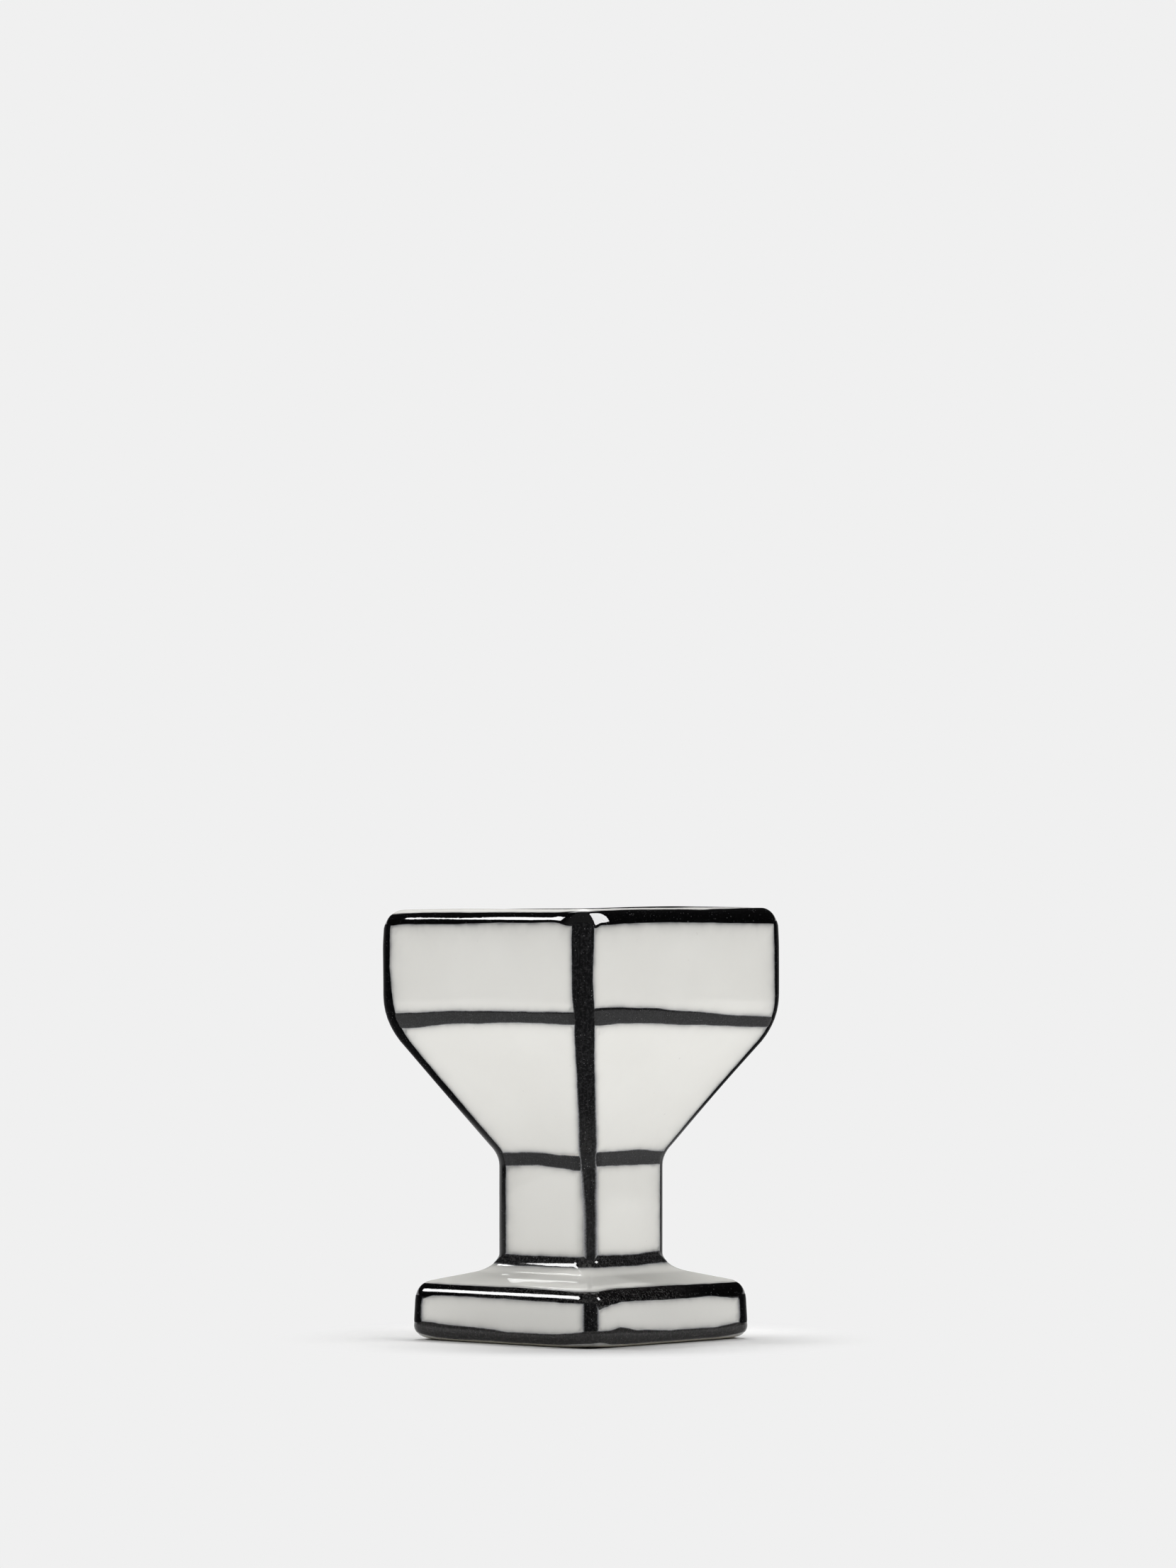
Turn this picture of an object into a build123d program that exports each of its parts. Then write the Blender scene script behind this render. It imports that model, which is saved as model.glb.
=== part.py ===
from build123d import *
import os

# Egg cup in glazed ceramic: a square bowl that slants in to a narrow square stem,
# which stands on a spreading hollow foot. Black glaze lines follow every edge.
# Millimetres, +Z up, origin at the middle of the footprint, flat sides square to X and Y.

# Heights of the outside, one above the other from the table to the clay of the rim.
foot_side = 9.4
foot_rise = 2.75
stem_length = 19.6
bowl_slant = 23.0
bowl_side = 19.1

# Widths across the flat sides, and how far each side of the foot leans in up to its edge.
opening_width = 42.0
stem_width = 21.8
foot_width = 42.6
foot_lean = 0.35

# Clay thickness, and the slip that joins the three castings.
wall = 4.0
well_floor = 5.0
slip_layer = 0.4
lower_seam_lift = 1.4

# Roundings of the outside.
corner_round = 3.5
shoulder_round = 15.0
neck_round = 7.0
instep_round = 3.2
foot_edge_extra = 0.6
rim_round = 1.9
lip_round = 1.2
foot_lip_round = 1.6

# Roundings of the hollows.
hollow_corner_round = 2.6
hollow_edge_round = 3.2
floor_round = 2.2

# Black glaze lines: thickness, and where each one runs on the clay.
glaze = 0.15
rim_line_depth = 2.0
rim_line_reach = 2.4
shoulder_line_width = 2.4
shoulder_line_drop = 0.75
neck_line_width = 2.2
neck_line_drop = 1.85
stem_base_line_width = 1.75
stem_base_line_lift = 0.65
foot_top_line_drop = 1.65
foot_top_line_reach = 1.85
foot_base_line_width = 1.6
foot_base_line_lift = 0.5
corner_line_top_width = 4.1
corner_line_base_width = 2.3
foot_corner_line_width = 2.4

# Levels and half widths that follow from the sizes above.
foot_half = foot_width / 2
stem_half = stem_width / 2
bowl_half = opening_width / 2 + wall
foot_edge_level = foot_side
instep_level = foot_edge_level + foot_rise
neck_level = instep_level + stem_length
shoulder_level = neck_level + bowl_slant
clay_top = shoulder_level + bowl_side
lower_seam = instep_level + lower_seam_lift
upper_seam = neck_level
half_slip = slip_layer / 2
well_floor_level = upper_seam + well_floor
beyond = 20.0
reach = bowl_half + foot_half
corner_names = ["front", "right", "back", "left"]


def moved_corner(before, corner, after, skin):
    """Corner of an outline once its two sides have moved outwards by skin."""
    arriving = (corner - before).normalized()
    leaving = (after - corner).normalized()
    first = Vector(arriving.Y, -arriving.X)
    second = Vector(leaving.Y, -leaving.X)
    return corner + (first + second) * (skin / (1 + first.dot(second)))


def moved_line(points, skin):
    """The right-hand line of an outline, read upwards, moved outwards by skin."""
    bends = zip(points, points[1:], points[2:])
    middle = [moved_corner(before, corner, after, skin) for before, corner, after in bends]
    return [points[0] + Vector(skin, 0)] + middle + [points[-1] + Vector(skin, 0)]


def square_column(line, rounds, corner):
    """Square solid whose four sides all follow one line, with rounded upright corners."""
    mirrored = [Vector(-point.X, point.Y) for point in reversed(line)]
    radii = [0, *rounds, 0]
    edge = FilletPolyline(*line, *mirrored, radius=radii + radii[::-1], close=True)
    slab = extrude(Plane.XZ * make_face(edge), amount=reach, both=True)
    crossed = slab & (Rot(0, 0, 90) * slab)
    mitres = [edge for edge in crossed.edges() if on_diagonal(edge)]
    return fillet(mitres, corner)


def on_diagonal(edge):
    """True where an edge lies in one of the two diagonal planes."""
    return all(abs(abs(point.X) - abs(point.Y)) < 0.001 for point in (edge @ 0, edge @ 0.5, edge @ 1))


def outside_line(low, high):
    """The outside of the cup from the foot to the rim."""
    return [
        Vector(foot_half - foot_lean * low / foot_edge_level, low),
        Vector(foot_half - foot_lean, foot_edge_level),
        Vector(stem_half, instep_level),
        Vector(stem_half, neck_level),
        Vector(bowl_half, shoulder_level),
        Vector(bowl_half, high),
    ]


def egg_well(skin):
    """Room inside the bowl, made smaller all round by skin."""
    inner = moved_line(outside_line(0, clay_top + beyond), -wall - skin)
    shoulder = inner[4]
    slope = (bowl_half - stem_half) / bowl_slant
    floor_level = well_floor_level + skin
    floor_half = shoulder.X - (shoulder.Y - floor_level) * slope
    line = [Vector(floor_half, floor_level), shoulder, inner[5]]
    room = square_column(line, [shoulder_round - wall - skin], hollow_corner_round)
    floor = room.faces().sort_by(Axis.Z)[0]
    return fillet(floor.edges(), floor_round)


def outside(skin):
    """The outside of the cup as one block, grown all over by skin."""
    line = moved_line(outside_line(-skin, clay_top + skin), skin)
    edge_round = corner_round + foot_edge_extra
    rounds = [edge_round + skin, instep_round - skin, neck_round - skin, shoulder_round + skin]
    block = square_column(line, rounds, corner_round + skin)
    base = block.faces().sort_by(Axis.Z)[0]
    return fillet(base.edges(), foot_lip_round + skin)


def cup(skin):
    """The outside with the egg well taken out and the rim rounded, grown all over by skin."""
    body = outside(skin) - egg_well(skin)
    rim = body.faces().sort_by(Axis.Z)[-1]
    body = fillet(rim.outer_wire().edges(), rim_round + skin)
    rim = body.faces().sort_by(Axis.Z)[-1]
    return fillet(rim.inner_wires()[0].edges(), lip_round + skin)


def underside():
    """Hollow of the foot and the stem, open at the table."""
    inner = moved_line(outside_line(-beyond, clay_top), -wall)
    line = [inner[0], inner[1], inner[2], Vector(inner[2].X, upper_seam + half_slip)]
    return square_column(line, [hollow_edge_round, instep_round + wall], hollow_corner_round)


def layer(low, high):
    """Block as wide as the cup between two levels."""
    return Pos(0, 0, (low + high) / 2) * Box(2 * reach, 2 * reach, high - low)


def stroke(low, high, low_width, high_width, quarter):
    """Upright wedge through one corner, as wide as a line painted down that corner."""
    shape = make_face(
        Polyline(
            (-low_width / 2, low),
            (low_width / 2, low),
            (high_width / 2, high),
            (-high_width / 2, high),
            close=True,
        )
    )
    wedge = extrude(Plane.XZ * shape, amount=2 * reach)
    return Rot(0, 0, 45 + 90 * quarter) * wedge


def save(name, shape):
    """Writes one piece as parts/NAME.step."""
    shape.label = name
    export_step(shape, f"parts/{name}.step")


os.makedirs("parts", exist_ok=True)

# Three castings and the two slip seams between them.
clay = cup(0)
hollowed = clay - underside()
save("bowl", clay & layer(upper_seam + half_slip, clay_top + beyond))
save("slip_seam_upper", hollowed & layer(upper_seam - half_slip, upper_seam + half_slip))
save("stem", hollowed & layer(lower_seam + half_slip, upper_seam - half_slip))
save("slip_seam_lower", hollowed & layer(lower_seam - half_slip, lower_seam + half_slip))
save("foot", hollowed & layer(-beyond, lower_seam - half_slip))

# The line over the rim runs down outside, and ends halfway across the top.
rim_line_low = clay_top + glaze - rim_line_depth
rim_line_inside = 2 * (bowl_half - rim_line_reach)
rim_inside_room = Pos(0, 0, clay_top) * Box(rim_line_inside, rim_line_inside, 2 * beyond)
rim_region = layer(rim_line_low, clay_top + beyond) - rim_inside_room
save("rim_line", (cup(glaze) & rim_region) - clay)

# Bands that run round the outside, each one a skin of glaze on the clay.
bare = outside(0)
banded = outside(glaze)
shoulder_low = shoulder_level - shoulder_line_drop
neck_low = neck_level - neck_line_drop
stem_base_low = instep_level + stem_base_line_lift
stem_base_high = stem_base_low + stem_base_line_width
foot_top_low = foot_edge_level - foot_top_line_drop
foot_top_inside = 2 * (foot_half - foot_lean - foot_top_line_reach)
foot_top_room = Pos(0, 0, instep_level) * Box(foot_top_inside, foot_top_inside, beyond)
foot_base_high = foot_base_line_lift + foot_base_line_width
regions = {
    "shoulder_line": layer(shoulder_low, shoulder_low + shoulder_line_width),
    "neck_line": layer(neck_low, neck_low + neck_line_width),
    "stem_base_line": layer(stem_base_low, stem_base_high),
    "foot_top_line": layer(foot_top_low, instep_level) - foot_top_room,
    "foot_base_line": layer(foot_base_line_lift, foot_base_high),
}
bands = {name: (banded & region) - bare for name, region in regions.items()}
for name, band in bands.items():
    save(name, band)

# Strokes down the four corners, painted over the two bands they cross.
stroked = outside(2 * glaze)
crossed_bands = bands["shoulder_line"] + bands["neck_line"]
for quarter, corner in enumerate(corner_names):
    region = stroke(stem_base_high, rim_line_low, corner_line_base_width, corner_line_top_width, quarter)
    save(f"corner_line_{corner}", (stroked & region) - bare - crossed_bands)
    width = foot_corner_line_width
    region = stroke(foot_base_high, foot_top_low, width, width, quarter)
    save(f"foot_corner_line_{corner}", (stroked & region) - bare)
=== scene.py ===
import math
import random

import bpy
import numpy as np
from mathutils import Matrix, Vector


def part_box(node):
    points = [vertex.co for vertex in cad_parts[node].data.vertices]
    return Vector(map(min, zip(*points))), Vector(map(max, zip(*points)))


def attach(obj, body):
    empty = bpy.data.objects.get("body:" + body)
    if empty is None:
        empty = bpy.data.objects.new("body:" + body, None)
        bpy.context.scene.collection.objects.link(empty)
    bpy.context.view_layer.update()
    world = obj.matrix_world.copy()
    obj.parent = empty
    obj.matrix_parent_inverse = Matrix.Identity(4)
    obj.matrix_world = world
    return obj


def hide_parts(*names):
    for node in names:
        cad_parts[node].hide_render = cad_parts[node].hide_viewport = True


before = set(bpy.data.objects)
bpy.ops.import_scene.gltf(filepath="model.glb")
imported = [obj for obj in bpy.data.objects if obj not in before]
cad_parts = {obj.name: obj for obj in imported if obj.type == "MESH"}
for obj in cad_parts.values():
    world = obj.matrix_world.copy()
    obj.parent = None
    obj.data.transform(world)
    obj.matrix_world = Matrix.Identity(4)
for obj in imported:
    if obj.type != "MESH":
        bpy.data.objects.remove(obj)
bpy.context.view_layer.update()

# Sizes of the cup in millimetres, and the scale to metres.
MM = 0.001
WALL = 4.0
STEM_HALF = 10.9
FOOT_HALF = 21.3
FOOT_SIDE = 9.4
FOOT_LEAN = 0.35
FOOT_RISE = 2.75
STEM_LENGTH = 19.6
BOWL_SLANT = 23.0
WELL_FLOOR = 5.0

# Roundings. Some differ slightly from the solids', to follow the photograph's highlights.
CORNER_ROUND = 3.5
SHOULDER_ROUND = 15.0
NECK_ROUND = 7.0
INSTEP_ROUND = 3.6
FOOT_EDGE_ROUND = 3.5
FOOT_LIP_ROUND = 2.1
LIP_ROUND = 0.8
HOLLOW_CORNER_ROUND = 2.6
HOLLOW_EDGE_ROUND = 3.2
FLOOR_ROUND = 2.2

# The rim's rounding has a narrow flat in it, which faces so many degrees up.
RIM_ROUND = 3.0
RIM_FLAT = 0.3
RIM_FLAT_RISE = 26.5

# Shares that bound the corners of the well's floor, and of any level cut.
FLOOR_CORNER_SHARE = 0.8
FLOOR_HALF_SHARE = 0.4
ROUND_LIMIT = 0.98

# Sizes that follow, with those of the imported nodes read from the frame.
BOWL_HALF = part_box("bowl")[1].x / MM
CLAY_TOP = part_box("bowl")[1].z / MM
UPPER_SEAM_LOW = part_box("slip_seam_upper")[0].z / MM
UPPER_SEAM_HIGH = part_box("slip_seam_upper")[1].z / MM
LOWER_SEAM_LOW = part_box("slip_seam_lower")[0].z / MM
LOWER_SEAM_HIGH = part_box("slip_seam_lower")[1].z / MM
OPENING_HALF = BOWL_HALF - WALL
INSTEP = FOOT_SIDE + FOOT_RISE
NECK = INSTEP + STEM_LENGTH
SHOULDER = NECK + BOWL_SLANT
FLOOR_LEVEL = NECK + WELL_FLOOR
SLANT = (BOWL_HALF - STEM_HALF) / BOWL_SLANT

# Where the camera stands, and how far each casting is turned, in degrees.
VIEW_TURN = 42.6
FOOT_TURN = 0.9
STEM_TURN = 3.0
BOWL_TURN = -1.7

# Where the stem's turn is full, and where the bowl's turn and the rim's warp begin.
TURN_ABOVE_INSTEP = 3.0
TURN_BELOW_NECK = 6.0
WARP_BELOW_SHOULDER = 8.0

# The rim as fired: its rise, its slopes to the right and to the back, and its warp.
RIM_RISE = -0.04
RIM_TILT_RIGHT = 0.007
RIM_TILT_BACK = 0.0025
RIM_WARP = 0.000225

# Corners in the order front, right, back and left: the way out along x and y.
FRONT, RIGHT, BACK, LEFT = 0, 1, 2, 3
CORNERS = ((1, -1), (1, 1), (-1, 1), (-1, -1))

# How far the rim sags at each corner, how blunt it is rubbed there, and how much the foot lifts.
# Blunting and lifting grow with the square of the way past a reach, the sum of the ways out in x and y.
RIM_CORNER_DROPS = (0.0, 0.05, 0.0, 0.25)
RIM_CORNER_INSETS = (0.052, 0.0045, 0.006, 0.007)
FOOT_CORNER_LIFTS = (0.0054, 0.0012, 0.003, 0.0038)
FOOT_RIGHT_LIFT = 0.002
RIM_SAG_FROM, RIM_SAG_TO = 42.5, 46.5
RIM_BLUNT_FROM = 42.0
FOOT_LIFT_FROM = 30.0

# The rim's wear begins and is full at these depths below its top.
RIM_WORN_DEPTH, RIM_WORN_FULL = 7.0, 1.0

# Two flats wiped on the rim's front corner: degrees left of the camera, degrees up, and depth.
# They are set from the corner's outermost place, looked for so far down the rim and so far round it.
GLINT_FLATS = ((39.3, 27.2, 0.02), (-29.9, 25.3, 0.25))
FLATTENING = 0.88
FLAT_EDGE = 0.03
GLINT_LENGTH, GLINT_TURNS = 6.0, 0.12

# Share of the unevenness that the foot has, and the height over which the table holds it level.
FOOT_TRUENESS = 0.3
TABLE_HOLD = 2.0

# Glaze lines stand this far above the clay. Their edges run out just below its surface, and their
# backs lie inside it. A stroke's ends thin out over its taper, and a flatter line has steeper edges.
BAND_LIFT = 0.08
STROKE_LIFT = 0.13
EDGE_SINK = -0.03
LINE_BACK = -0.12
STROKE_TAPER = 1.0
LINE_FLATNESS = 5

# A brush's edge wavers in few to many cycles round the cup. Down a stroke, a quarter turn is so long.
FEW_CYCLES = 3
BAND_CYCLES = 70
STROKE_CYCLES = 60
STROKE_QUARTER = 20.0

# Distances from the lines are kept between these, for the glaze that bleeds beside them and for the shade
# painted near the rim and side corners.
ON_LINE = -2.0
FAR_FROM_LINE = 8.0
FAR_FROM_EDGE = 12.0

# Mesh: places round half a corner and along a side, and steps and columns on the lines.
ARC_COUNT, FLAT_COUNT = 6, 20
RING_COUNT = 4 * (2 * ARC_COUNT + FLAT_COUNT)
BAND_STEP = 0.7
STROKE_STEP = 0.6
STROKE_LEAST = 8
LINE_COLUMNS = 10
RIM_COLUMNS = 24
CLOSEST = 0.05
SHARP_ANGLE = math.radians(40)

# Values below these count as nothing.
NEAR = 0.001
TINY = 1e-6


# The line that all four sides follow.


def rounded_line(points, radii, step=1.2, arc_step=math.radians(6)):
    """Places and outward normals along straight runs, with rounded corners between them."""
    points = [np.array(point, float) for point in points]
    places, normals = [], []
    start = points[0]
    for index in range(1, len(points)):
        ahead = unit(points[index] - points[index - 1])
        normal = np.array((ahead[1], -ahead[0]))
        turn, cut = 0.0, 0.0
        if index < len(points) - 1:
            leaving = unit(points[index + 1] - points[index])
            turn = math.atan2(ahead[0] * leaving[1] - ahead[1] * leaving[0], ahead @ leaving)
            cut = radii[index - 1] * math.tan(abs(turn) / 2)
        end = points[index] - ahead * cut
        count = max(2, int(np.hypot(*(end - start)) / step) + 2)
        for share in np.linspace(0, 1, count):
            places.append(start + (end - start) * share)
            normals.append(normal)
        if cut:
            away = normal * radii[index - 1] * math.copysign(1, turn)
            count = max(3, int(abs(turn) / arc_step) + 2)
            for share in np.linspace(0, 1, count)[1:]:
                places.append(end - away + turned(away, turn * share))
                normals.append(turned(normal, turn * share))
        start = places[-1]
    places, normals = np.array(places), np.array(normals)
    apart = np.r_[True, np.hypot(*np.diff(places, axis=0).T) > TINY]
    return places[apart], normals[apart]


def unit(vector):
    """The vector at length 1."""
    return vector / np.hypot(*vector)


def inset_corner(before, corner, after, depth):
    """A line's corner after the two runs that meet there have moved inwards."""
    arriving = unit(np.subtract(corner, before))
    leaving = unit(np.subtract(after, corner))
    first = np.array((arriving[1], -arriving[0]))
    second = np.array((leaving[1], -leaving[0]))
    return np.array(corner) - (first + second) * depth / (1 + first @ second)


def turned(vector, angle):
    """A plane vector turned by an angle."""
    cos, sin = math.cos(angle), math.sin(angle)
    return np.array((cos * vector[0] - sin * vector[1], sin * vector[0] + cos * vector[1]))


def ball_share(normals):
    """How much of its radius a ball-rounded corner keeps in a level cut, where the sides lean."""
    level, rise = np.abs(normals[:, 0]), normals[:, 1]
    root = math.sqrt(2)
    return (root - np.sqrt(1 + rise**2)) / (np.maximum(level, NEAR) * (root - 1))


def cup_corner_rounds(places, normals):
    """Corner radius of the level cut at each place on the cup's line."""
    half, level = places.T
    order = np.arange(len(half))
    share = ball_share(normals)
    top = np.argmax(level > CLAY_TOP - NEAR)
    base = order < np.argmax(level > FOOT_LIP_ROUND - NEAR)
    rim = (order <= top) & (level > CLAY_TOP - 2 * RIM_ROUND)
    inside = order > top
    lip = inside & (level > CLAY_TOP - LIP_ROUND - NEAR)
    floor = inside & (level < FLOOR_LEVEL + FLOOR_ROUND)
    floor_round = np.minimum(HOLLOW_CORNER_ROUND * FLOOR_CORNER_SHARE, FLOOR_HALF_SHARE * half)
    rounds = CORNER_ROUND * share
    rounds = np.where(base, np.maximum(CORNER_ROUND - (FOOT_HALF - half), HOLLOW_CORNER_ROUND), rounds)
    rounds = np.where(rim, CORNER_ROUND - (BOWL_HALF - half), rounds)
    rounds = np.where(inside, HOLLOW_CORNER_ROUND * share, rounds)
    rounds = np.where(lip, HOLLOW_CORNER_ROUND + half - OPENING_HALF, rounds)
    rounds = np.where(floor, floor_round, rounds)
    return np.minimum(rounds, ROUND_LIMIT * half)


class Line:
    """A line that the sides follow, read by the length along it."""

    def __init__(self, places, normals, rounds):
        self.places, self.normals, self.rounds = places, normals, rounds
        self.length = np.r_[0, np.cumsum(np.hypot(*np.diff(places, axis=0).T))]

    def at(self, along):
        """Half width, level, corner radius and normal at lengths along the line."""
        columns = (*self.places.T, self.rounds, *self.normals.T)
        return [np.interp(along, self.length, column) for column in columns]

    def reach(self, level):
        """Length along the line where the outside comes up to a level."""
        top = np.argmax(self.places[:, 1])
        return float(np.interp(level, self.places[: top + 1, 1], self.length[: top + 1]))

    def between(self, low, high):
        """The line's own places from one length to another, with both ends."""
        inner = self.length[(self.length > low + CLOSEST) & (self.length < high - CLOSEST)]
        return np.r_[low, inner, high]


RIM_FLAT_TURN = math.radians(RIM_FLAT_RISE)
RIM_CUTS = math.tan(RIM_FLAT_TURN / 2) + math.tan((math.pi / 2 - RIM_FLAT_TURN) / 2)
RIM_FLAT_RUN = RIM_FLAT + RIM_ROUND * RIM_CUTS
FOOT_BASE = (FOOT_HALF, 0)
FOOT_EDGE = (FOOT_HALF - FOOT_LEAN, FOOT_SIDE)
STEM_BASE = (STEM_HALF, INSTEP)
STEM_TOP = (STEM_HALF, NECK)
BOWL_EDGE = (BOWL_HALF, SHOULDER)
RIM_EDGE = (BOWL_HALF, CLAY_TOP)
RIM_OUTER = (BOWL_HALF, CLAY_TOP - RIM_FLAT_RUN * math.cos(RIM_FLAT_TURN))
RIM_INNER = (BOWL_HALF - RIM_FLAT_RUN * math.sin(RIM_FLAT_TURN), CLAY_TOP)
INNER_SHOULDER = inset_corner(STEM_TOP, BOWL_EDGE, RIM_EDGE, WALL)
FLOOR_HALF = OPENING_HALF - (INNER_SHOULDER[1] - FLOOR_LEVEL) * SLANT
cup_runs = [
    (FOOT_HALF - WALL, 0),
    FOOT_BASE,
    FOOT_EDGE,
    STEM_BASE,
    STEM_TOP,
    BOWL_EDGE,
    RIM_OUTER,
    RIM_INNER,
    (OPENING_HALF, CLAY_TOP),
    INNER_SHOULDER,
    (FLOOR_HALF, FLOOR_LEVEL),
    (0, FLOOR_LEVEL),
]
cup_rounds = [
    FOOT_LIP_ROUND,
    FOOT_EDGE_ROUND,
    INSTEP_ROUND,
    NECK_ROUND,
    SHOULDER_ROUND,
    RIM_ROUND,
    RIM_ROUND,
    LIP_ROUND,
    SHOULDER_ROUND - WALL,
    FLOOR_ROUND,
]
cup_places, cup_normals = rounded_line(cup_runs, cup_rounds)
cup_line = Line(cup_places, cup_normals, cup_corner_rounds(cup_places, cup_normals))
RIM_CREST = float(cup_line.length[np.argmax(cup_places[:, 1])])
reach = cup_line.reach

hollow_runs = [
    (STEM_HALF - WALL, UPPER_SEAM_HIGH),
    inset_corner(FOOT_EDGE, STEM_BASE, STEM_TOP, WALL),
    inset_corner(FOOT_BASE, FOOT_EDGE, STEM_BASE, WALL),
    (FOOT_HALF - WALL, 0),
]
hollow_places, hollow_normals = rounded_line(hollow_runs, [INSTEP_ROUND + WALL, HOLLOW_EDGE_ROUND])
hollow_line = Line(hollow_places, hollow_normals, HOLLOW_CORNER_ROUND * ball_share(hollow_normals))


# The surface: a place along the line, and quarter turns round it from the front corner.


def ring(half, radius, turns):
    """Places and outward directions on a rounded square, quarter turns from its front corner."""
    quarter = np.floor(turns)
    flat = half - radius
    arc = np.maximum(radius * math.pi / 4, TINY)
    run = (turns - quarter) * 2 * (flat + arc)
    leaving = np.clip(run / arc, 0, 1) - 1
    arriving = np.clip((run - arc - 2 * flat) / arc, 0, 1)
    bend = (leaving + arriving) * math.pi / 4
    x = flat + radius * np.cos(bend)
    y = np.clip(run - arc, 0, 2 * flat) - flat + radius * np.sin(bend)
    side = quarter * math.pi / 2
    cos, sin = np.cos(side), np.sin(side)
    return cos * x - sin * y, sin * x + cos * y, np.cos(bend + side), np.sin(bend + side)


def ease(low, high, value):
    """0 below low, 1 above high and a smooth step between them."""
    share = np.clip((value - low) / (high - low), 0, 1)
    return share * share * (3 - 2 * share)


def waves(seed, count, shortest, longest, height):
    """Seeded waves that make a form gently uneven: directions, phases and shifts."""
    draw = random.Random(seed)
    found = []
    for _ in range(count):
        heading = np.array([draw.gauss(0, 1) for _ in range(3)])
        shift = np.array([draw.gauss(0, 1) for _ in range(3)])
        pitch = 2 * math.pi / draw.uniform(shortest, longest)
        heading *= pitch / np.linalg.norm(heading)
        shift *= height / np.linalg.norm(shift)
        found.append((heading, draw.uniform(0, 2 * math.pi), shift))
    return found


UNEVEN = waves(seed=11, count=9, shortest=16, longest=42, height=0.045)


def direction(left, up):
    """A direction from the cup, so many degrees to the left of the camera and up."""
    heading = math.radians(VIEW_TURN - 90 - left)
    rise = math.radians(up)
    return (math.cos(rise) * math.cos(heading), math.cos(rise) * math.sin(heading), math.sin(rise))


def reached_towards(heading, places):
    """How far places lie in a direction."""
    return sum(part * place for part, place in zip(heading, places))


def uneven(x, y, z):
    """Places moved by gentle waves, less on the foot than on the bowl, and not off the table."""
    moved = [x, y, z]
    free = ease(0, TABLE_HOLD, z)
    loose = FOOT_TRUENESS + (1 - FOOT_TRUENESS) * ease(INSTEP, NECK, z)
    for heading, phase, shift in UNEVEN:
        wave = loose * np.sin(heading[0] * x + heading[1] * y + heading[2] * z + phase)
        parts = (shift[0], shift[1], shift[2] * free)
        moved = [place + wave * part for place, part in zip(moved, parts)]
    return moved


def worn_corners(x, y, z):
    """Places with the rim's corners sagged and blunt, and the foot's corners lifted."""
    low = 1 - ease(0, FOOT_SIDE, z)
    rim = ease(CLAY_TOP - RIM_WORN_DEPTH, CLAY_TOP - RIM_WORN_FULL, z)
    moved = [x, y, z + FOOT_RIGHT_LIFT * np.maximum(x + y, 0) * low]
    wear = zip(CORNERS, RIM_CORNER_DROPS, RIM_CORNER_INSETS, FOOT_CORNER_LIFTS)
    for (out_x, out_y), drop, inset, lift in wear:
        reached = out_x * x + out_y * y
        rise = lift * np.maximum(reached - FOOT_LIFT_FROM, 0) ** 2 * low
        blunt = inset * np.maximum(reached - RIM_BLUNT_FROM, 0) ** 2 * rim / math.sqrt(2)
        sag = drop * ease(RIM_SAG_FROM, RIM_SAG_TO, reached) * rim
        moved = [moved[0] - out_x * blunt, moved[1] - out_y * blunt, moved[2] + rise - sag]
    return moved


def turned_castings(x, y, z):
    """Places turned as the three castings were when they were joined."""
    stem = (STEM_TURN - FOOT_TURN) * ease(FOOT_SIDE, INSTEP + TURN_ABOVE_INSTEP, z)
    bowl = (BOWL_TURN - STEM_TURN) * ease(NECK - TURN_BELOW_NECK, SHOULDER, z)
    angle = np.radians(FOOT_TURN + stem + bowl)
    cos, sin = np.cos(angle), np.sin(angle)
    return cos * x - sin * y, sin * x + cos * y


def warped_rim(x, y, z):
    """Levels after the rim has tilted and warped."""
    view = math.radians(VIEW_TURN)
    right = x * math.cos(view) + y * math.sin(view)
    back = y * math.cos(view) - x * math.sin(view)
    tilt = RIM_RISE + RIM_TILT_RIGHT * right + RIM_TILT_BACK * back + RIM_WARP * right * back
    return z + tilt * ease(SHOULDER - WARP_BELOW_SHOULDER, CLAY_TOP, z)


def fired(x, y, z):
    """Places of the ideal form as they come out of the kiln: uneven, turned and tilted."""
    x, y, z = worn_corners(*uneven(x, y, z))
    x, y = turned_castings(x, y, z)
    return x, y, warped_rim(x, y, z)


def glint_flat(left, up, depth):
    """A flat on the rim's front corner: the way it faces, and how far out it lies."""
    lengths = np.linspace(RIM_CREST - GLINT_LENGTH, RIM_CREST, 40)
    along, turns = np.meshgrid(lengths, np.linspace(-GLINT_TURNS, GLINT_TURNS, 49))
    half, level, radius, _, _ = cup_line.at(along)
    x, y, _, _ = ring(half, radius, turns)
    heading = direction(left, up)
    return heading, reached_towards(heading, fired(x, y, level)).max() - depth


glint_flats = [glint_flat(*flat) for flat in GLINT_FLATS]


def by_hand(x, y, z):
    """Places as on the hand-made cup, with the rim's front corner wiped flat."""
    places = fired(x, y, z)
    for heading, reached in glint_flats:
        beyond = np.maximum(reached_towards(heading, places) - reached, 0)
        back = FLATTENING * beyond**2 / (beyond + FLAT_EDGE)
        places = [place - part * back for part, place in zip(heading, places)]
    return places


def surface(line, along, turns, lift=0.0):
    """Places on the hand-made surface in metres, lifted off the clay by so many millimetres."""
    half, level, radius, out, up = line.at(along)
    x, y, out_x, out_y = ring(half, radius, turns)
    places = by_hand(x, y, level)
    places = [place + lift * part for place, part in zip(places, (out * out_x, out * out_y, up))]
    return np.stack(places, axis=-1) * MM


def quarter_length(along):
    """Length of a quarter of the level cut at lengths along the cup's line."""
    half, _, radius, _, _ = cup_line.at(along)
    return 2 * (half - radius) + radius * math.pi / 2


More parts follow.
